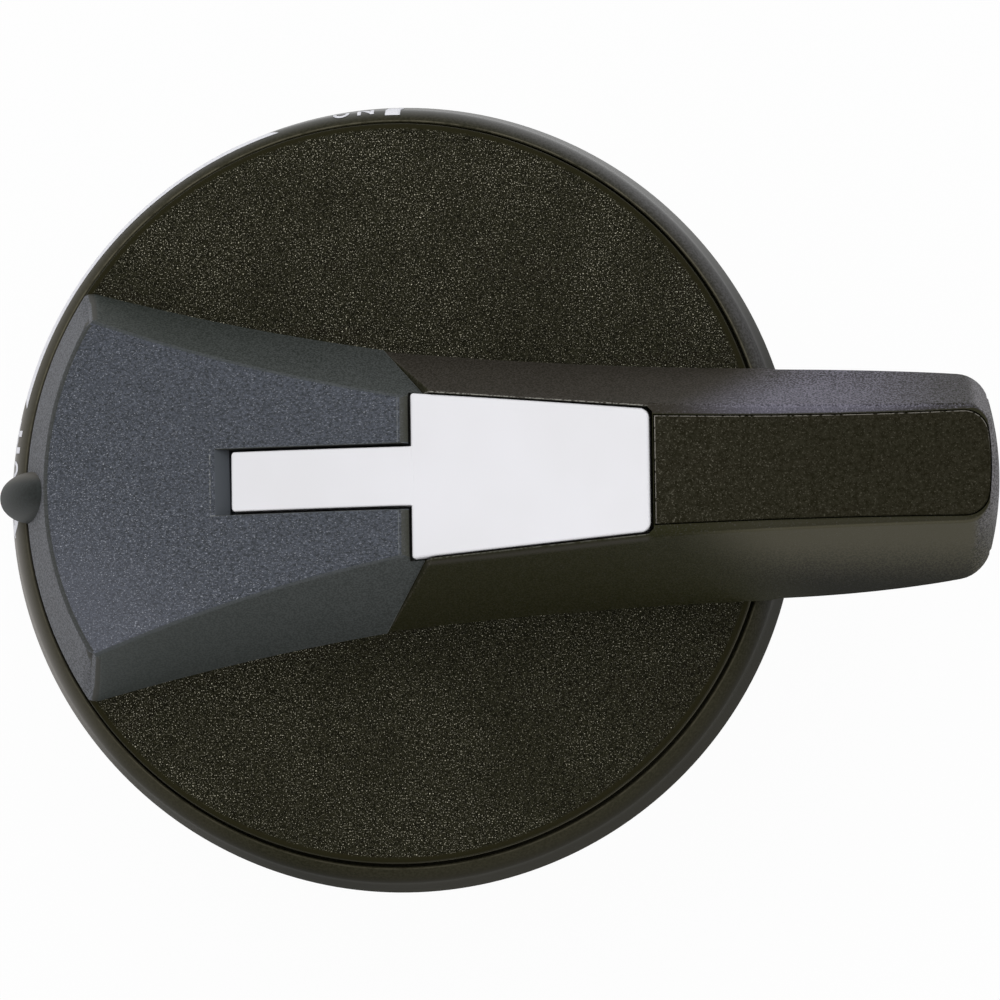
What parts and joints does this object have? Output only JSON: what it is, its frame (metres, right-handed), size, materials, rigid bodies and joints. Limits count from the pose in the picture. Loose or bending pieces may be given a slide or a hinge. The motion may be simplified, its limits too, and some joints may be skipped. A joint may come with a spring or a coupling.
{
  "type": "rotary battery switch",
  "caption": "Round panel-mounted lever switch with a black dial ring, grey pointer cover, white lift-out padlock slider, and terminal studs in a shroud behind.",
  "frame": {"origin": "on the switch axis at the panel plane, the back face of the dial ring", "axes": "+Z along the switch axis towards the operator, +X along the grip in the OFF position, +Y up in the front view; rear terminals at -Z"},
  "size_m": [0.0975, 0.078, 0.0873],
  "materials": {
    "ring_black": "moulded glass-filled plastic, fine satin grain",
    "gasket_rubber": "smooth closed rubber",
    "insert_brass": "knurled, machined",
    "housing_black": "moulded thermoset, dull",
    "leaf_steel": "bent strip",
    "pin_steel": "ground",
    "bush_bronze": "sintered bronze",
    "seal_rubber": "smooth",
    "base_thermoset": "red-brown thermoset",
    "stud_brass": "turned",
    "silver_tips": "silver alloy",
    "base_nut_brass": "machined hexagon",
    "washer_steel": "stamped, plated",
    "spring_washer_steel": "split washer, plated",
    "stud_nut_brass": "machined hexagon",
    "shroud_black": "moulded, dull",
    "barrier_thermoset": "red-brown thermoset sheet",
    "housing_screw_steel": "cross-recess, zinc plated",
    "disc_black": "coarse spark-eroded texture with a smooth edge",
    "lever_black": "fine satin grain",
    "inlay_black": "rough dull texture",
    "cover_slate": "dark slate grey, fine satin grain",
    "handle_screw_steel": "cross-recess",
    "spindle_steel": "cold-drawn square bar",
    "spindle_screw_steel": "cross-recess",
    "screw_washer_steel": "stamped",
    "thrust_plastic": "acetal",
    "carrier_thermoset": "red-brown thermoset",
    "disc_spring_steel": "disc springs",
    "contact_copper": "bare copper",
    "moving_silver": "silver alloy",
    "clip_steel": "black spring steel",
    "latch_steel": "bent strip",
    "slider_white": "near-white satin moulding",
    "blade_black": "glass-filled moulding",
    "blade_pin_steel": "dowel"
  },
  "bodies": {
    "base": {"dial_ring": "ring_black", "panel_gasket": "gasket_rubber", "mount_inserts": "insert_brass", "housing": "housing_black", "index_springs": "leaf_steel", "index_pins": "pin_steel", "bearing_bush": "bush_bronze", "shaft_seal": "seal_rubber", "terminal_base": "base_thermoset", "terminal_studs": "stud_brass", "fixed_tips": "silver_tips", "base_nuts": "base_nut_brass", "flat_washers": "washer_steel", "spring_washers": "spring_washer_steel", "stud_nuts": "stud_nut_brass", "terminal_shroud": "shroud_black", "phase_barrier": "barrier_thermoset", "housing_screws": "housing_screw_steel"},
    "rotor": {"rotor_disc": "disc_black", "lever_shell": "lever_black", "grip_inlay": "inlay_black", "pointer_cover": "cover_slate", "handle_screws": "handle_screw_steel", "spindle": "spindle_steel", "spindle_screw": "spindle_screw_steel", "screw_washer": "screw_washer_steel", "thrust_washer": "thrust_plastic", "contact_carrier": "carrier_thermoset", "contact_spring": "disc_spring_steel", "contact_plate": "contact_copper", "moving_tips": "moving_silver", "spindle_clip": "clip_steel", "latch_spring": "latch_steel"},
    "slider": {"lock_slider": "slider_white", "lock_blade": "blade_black", "blade_pins": "blade_pin_steel"}
  },
  "joints": [
    {"name": "handle_turn", "type": "hinge", "parent": "base", "child": "rotor", "pos_m": [0, 0, 0], "axis": [0, 0, -1], "range_deg": [0, 90], "deforming": ["index_springs"]},
    {"name": "lock_lift", "type": "slide", "parent": "rotor", "child": "slider", "axis": [0, 0, 1], "range_m": [0, 0.013], "deforming": ["latch_spring"]}
  ]
}
